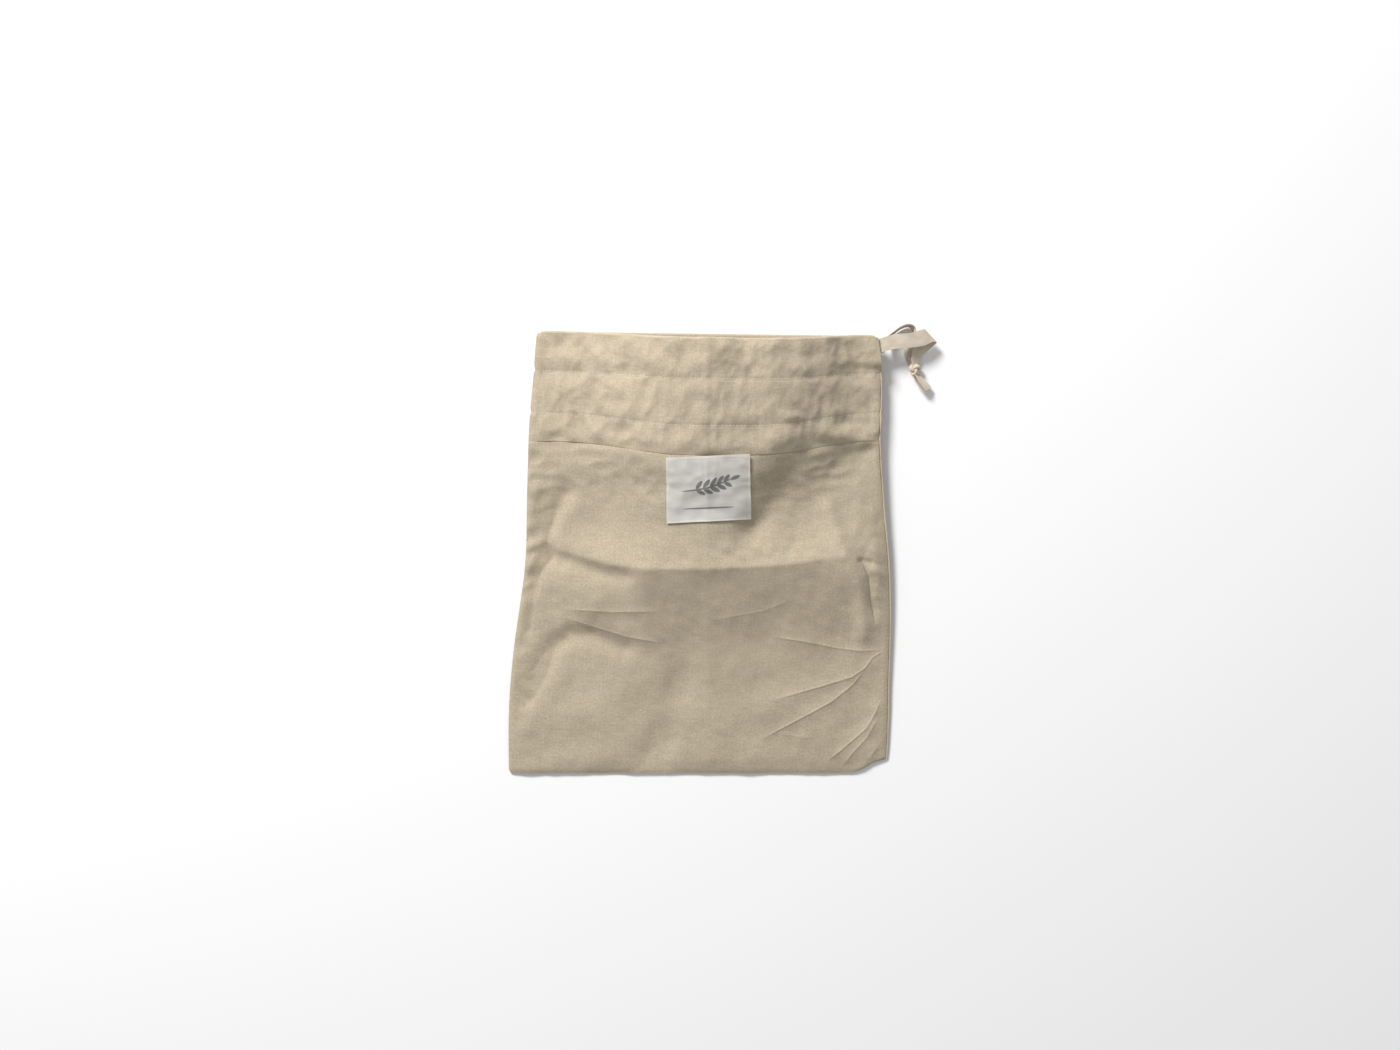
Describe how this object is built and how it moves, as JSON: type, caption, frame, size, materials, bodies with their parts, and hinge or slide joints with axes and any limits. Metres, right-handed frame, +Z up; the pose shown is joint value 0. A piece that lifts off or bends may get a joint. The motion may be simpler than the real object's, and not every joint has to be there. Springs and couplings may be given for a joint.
{
  "type": "drawstring bread bag",
  "caption": "Flat waxed-cloth drawstring bag for bread, lying on its back with its mouth propped open and the knotted tape out at one side.",
  "frame": {"origin": "underside of the back panel, in the middle of the bag's length, where it lies on the surface", "axes": "+Z up, away from the surface; +Y along the bag, out of its mouth; +X across it, towards the side where the tape comes out"},
  "size_m": [0.3949, 0.4144, 0.0546],
  "materials": {
    "cloth": "plain-woven natural linen and cotton, lightly waxed, matte",
    "label": "fine off-white woven label, matte",
    "tape": "cream cotton twill tape, matte"
  },
  "bodies": {
    "root": {"front_panel": "cloth", "back_panel": "cloth", "front_heading": "cloth", "back_heading": "cloth", "label": "label", "tape": "tape", "tape_knot": "tape", "tape_end_upper": "tape", "tape_end_lower": "tape"}
  },
  "joints": []
}
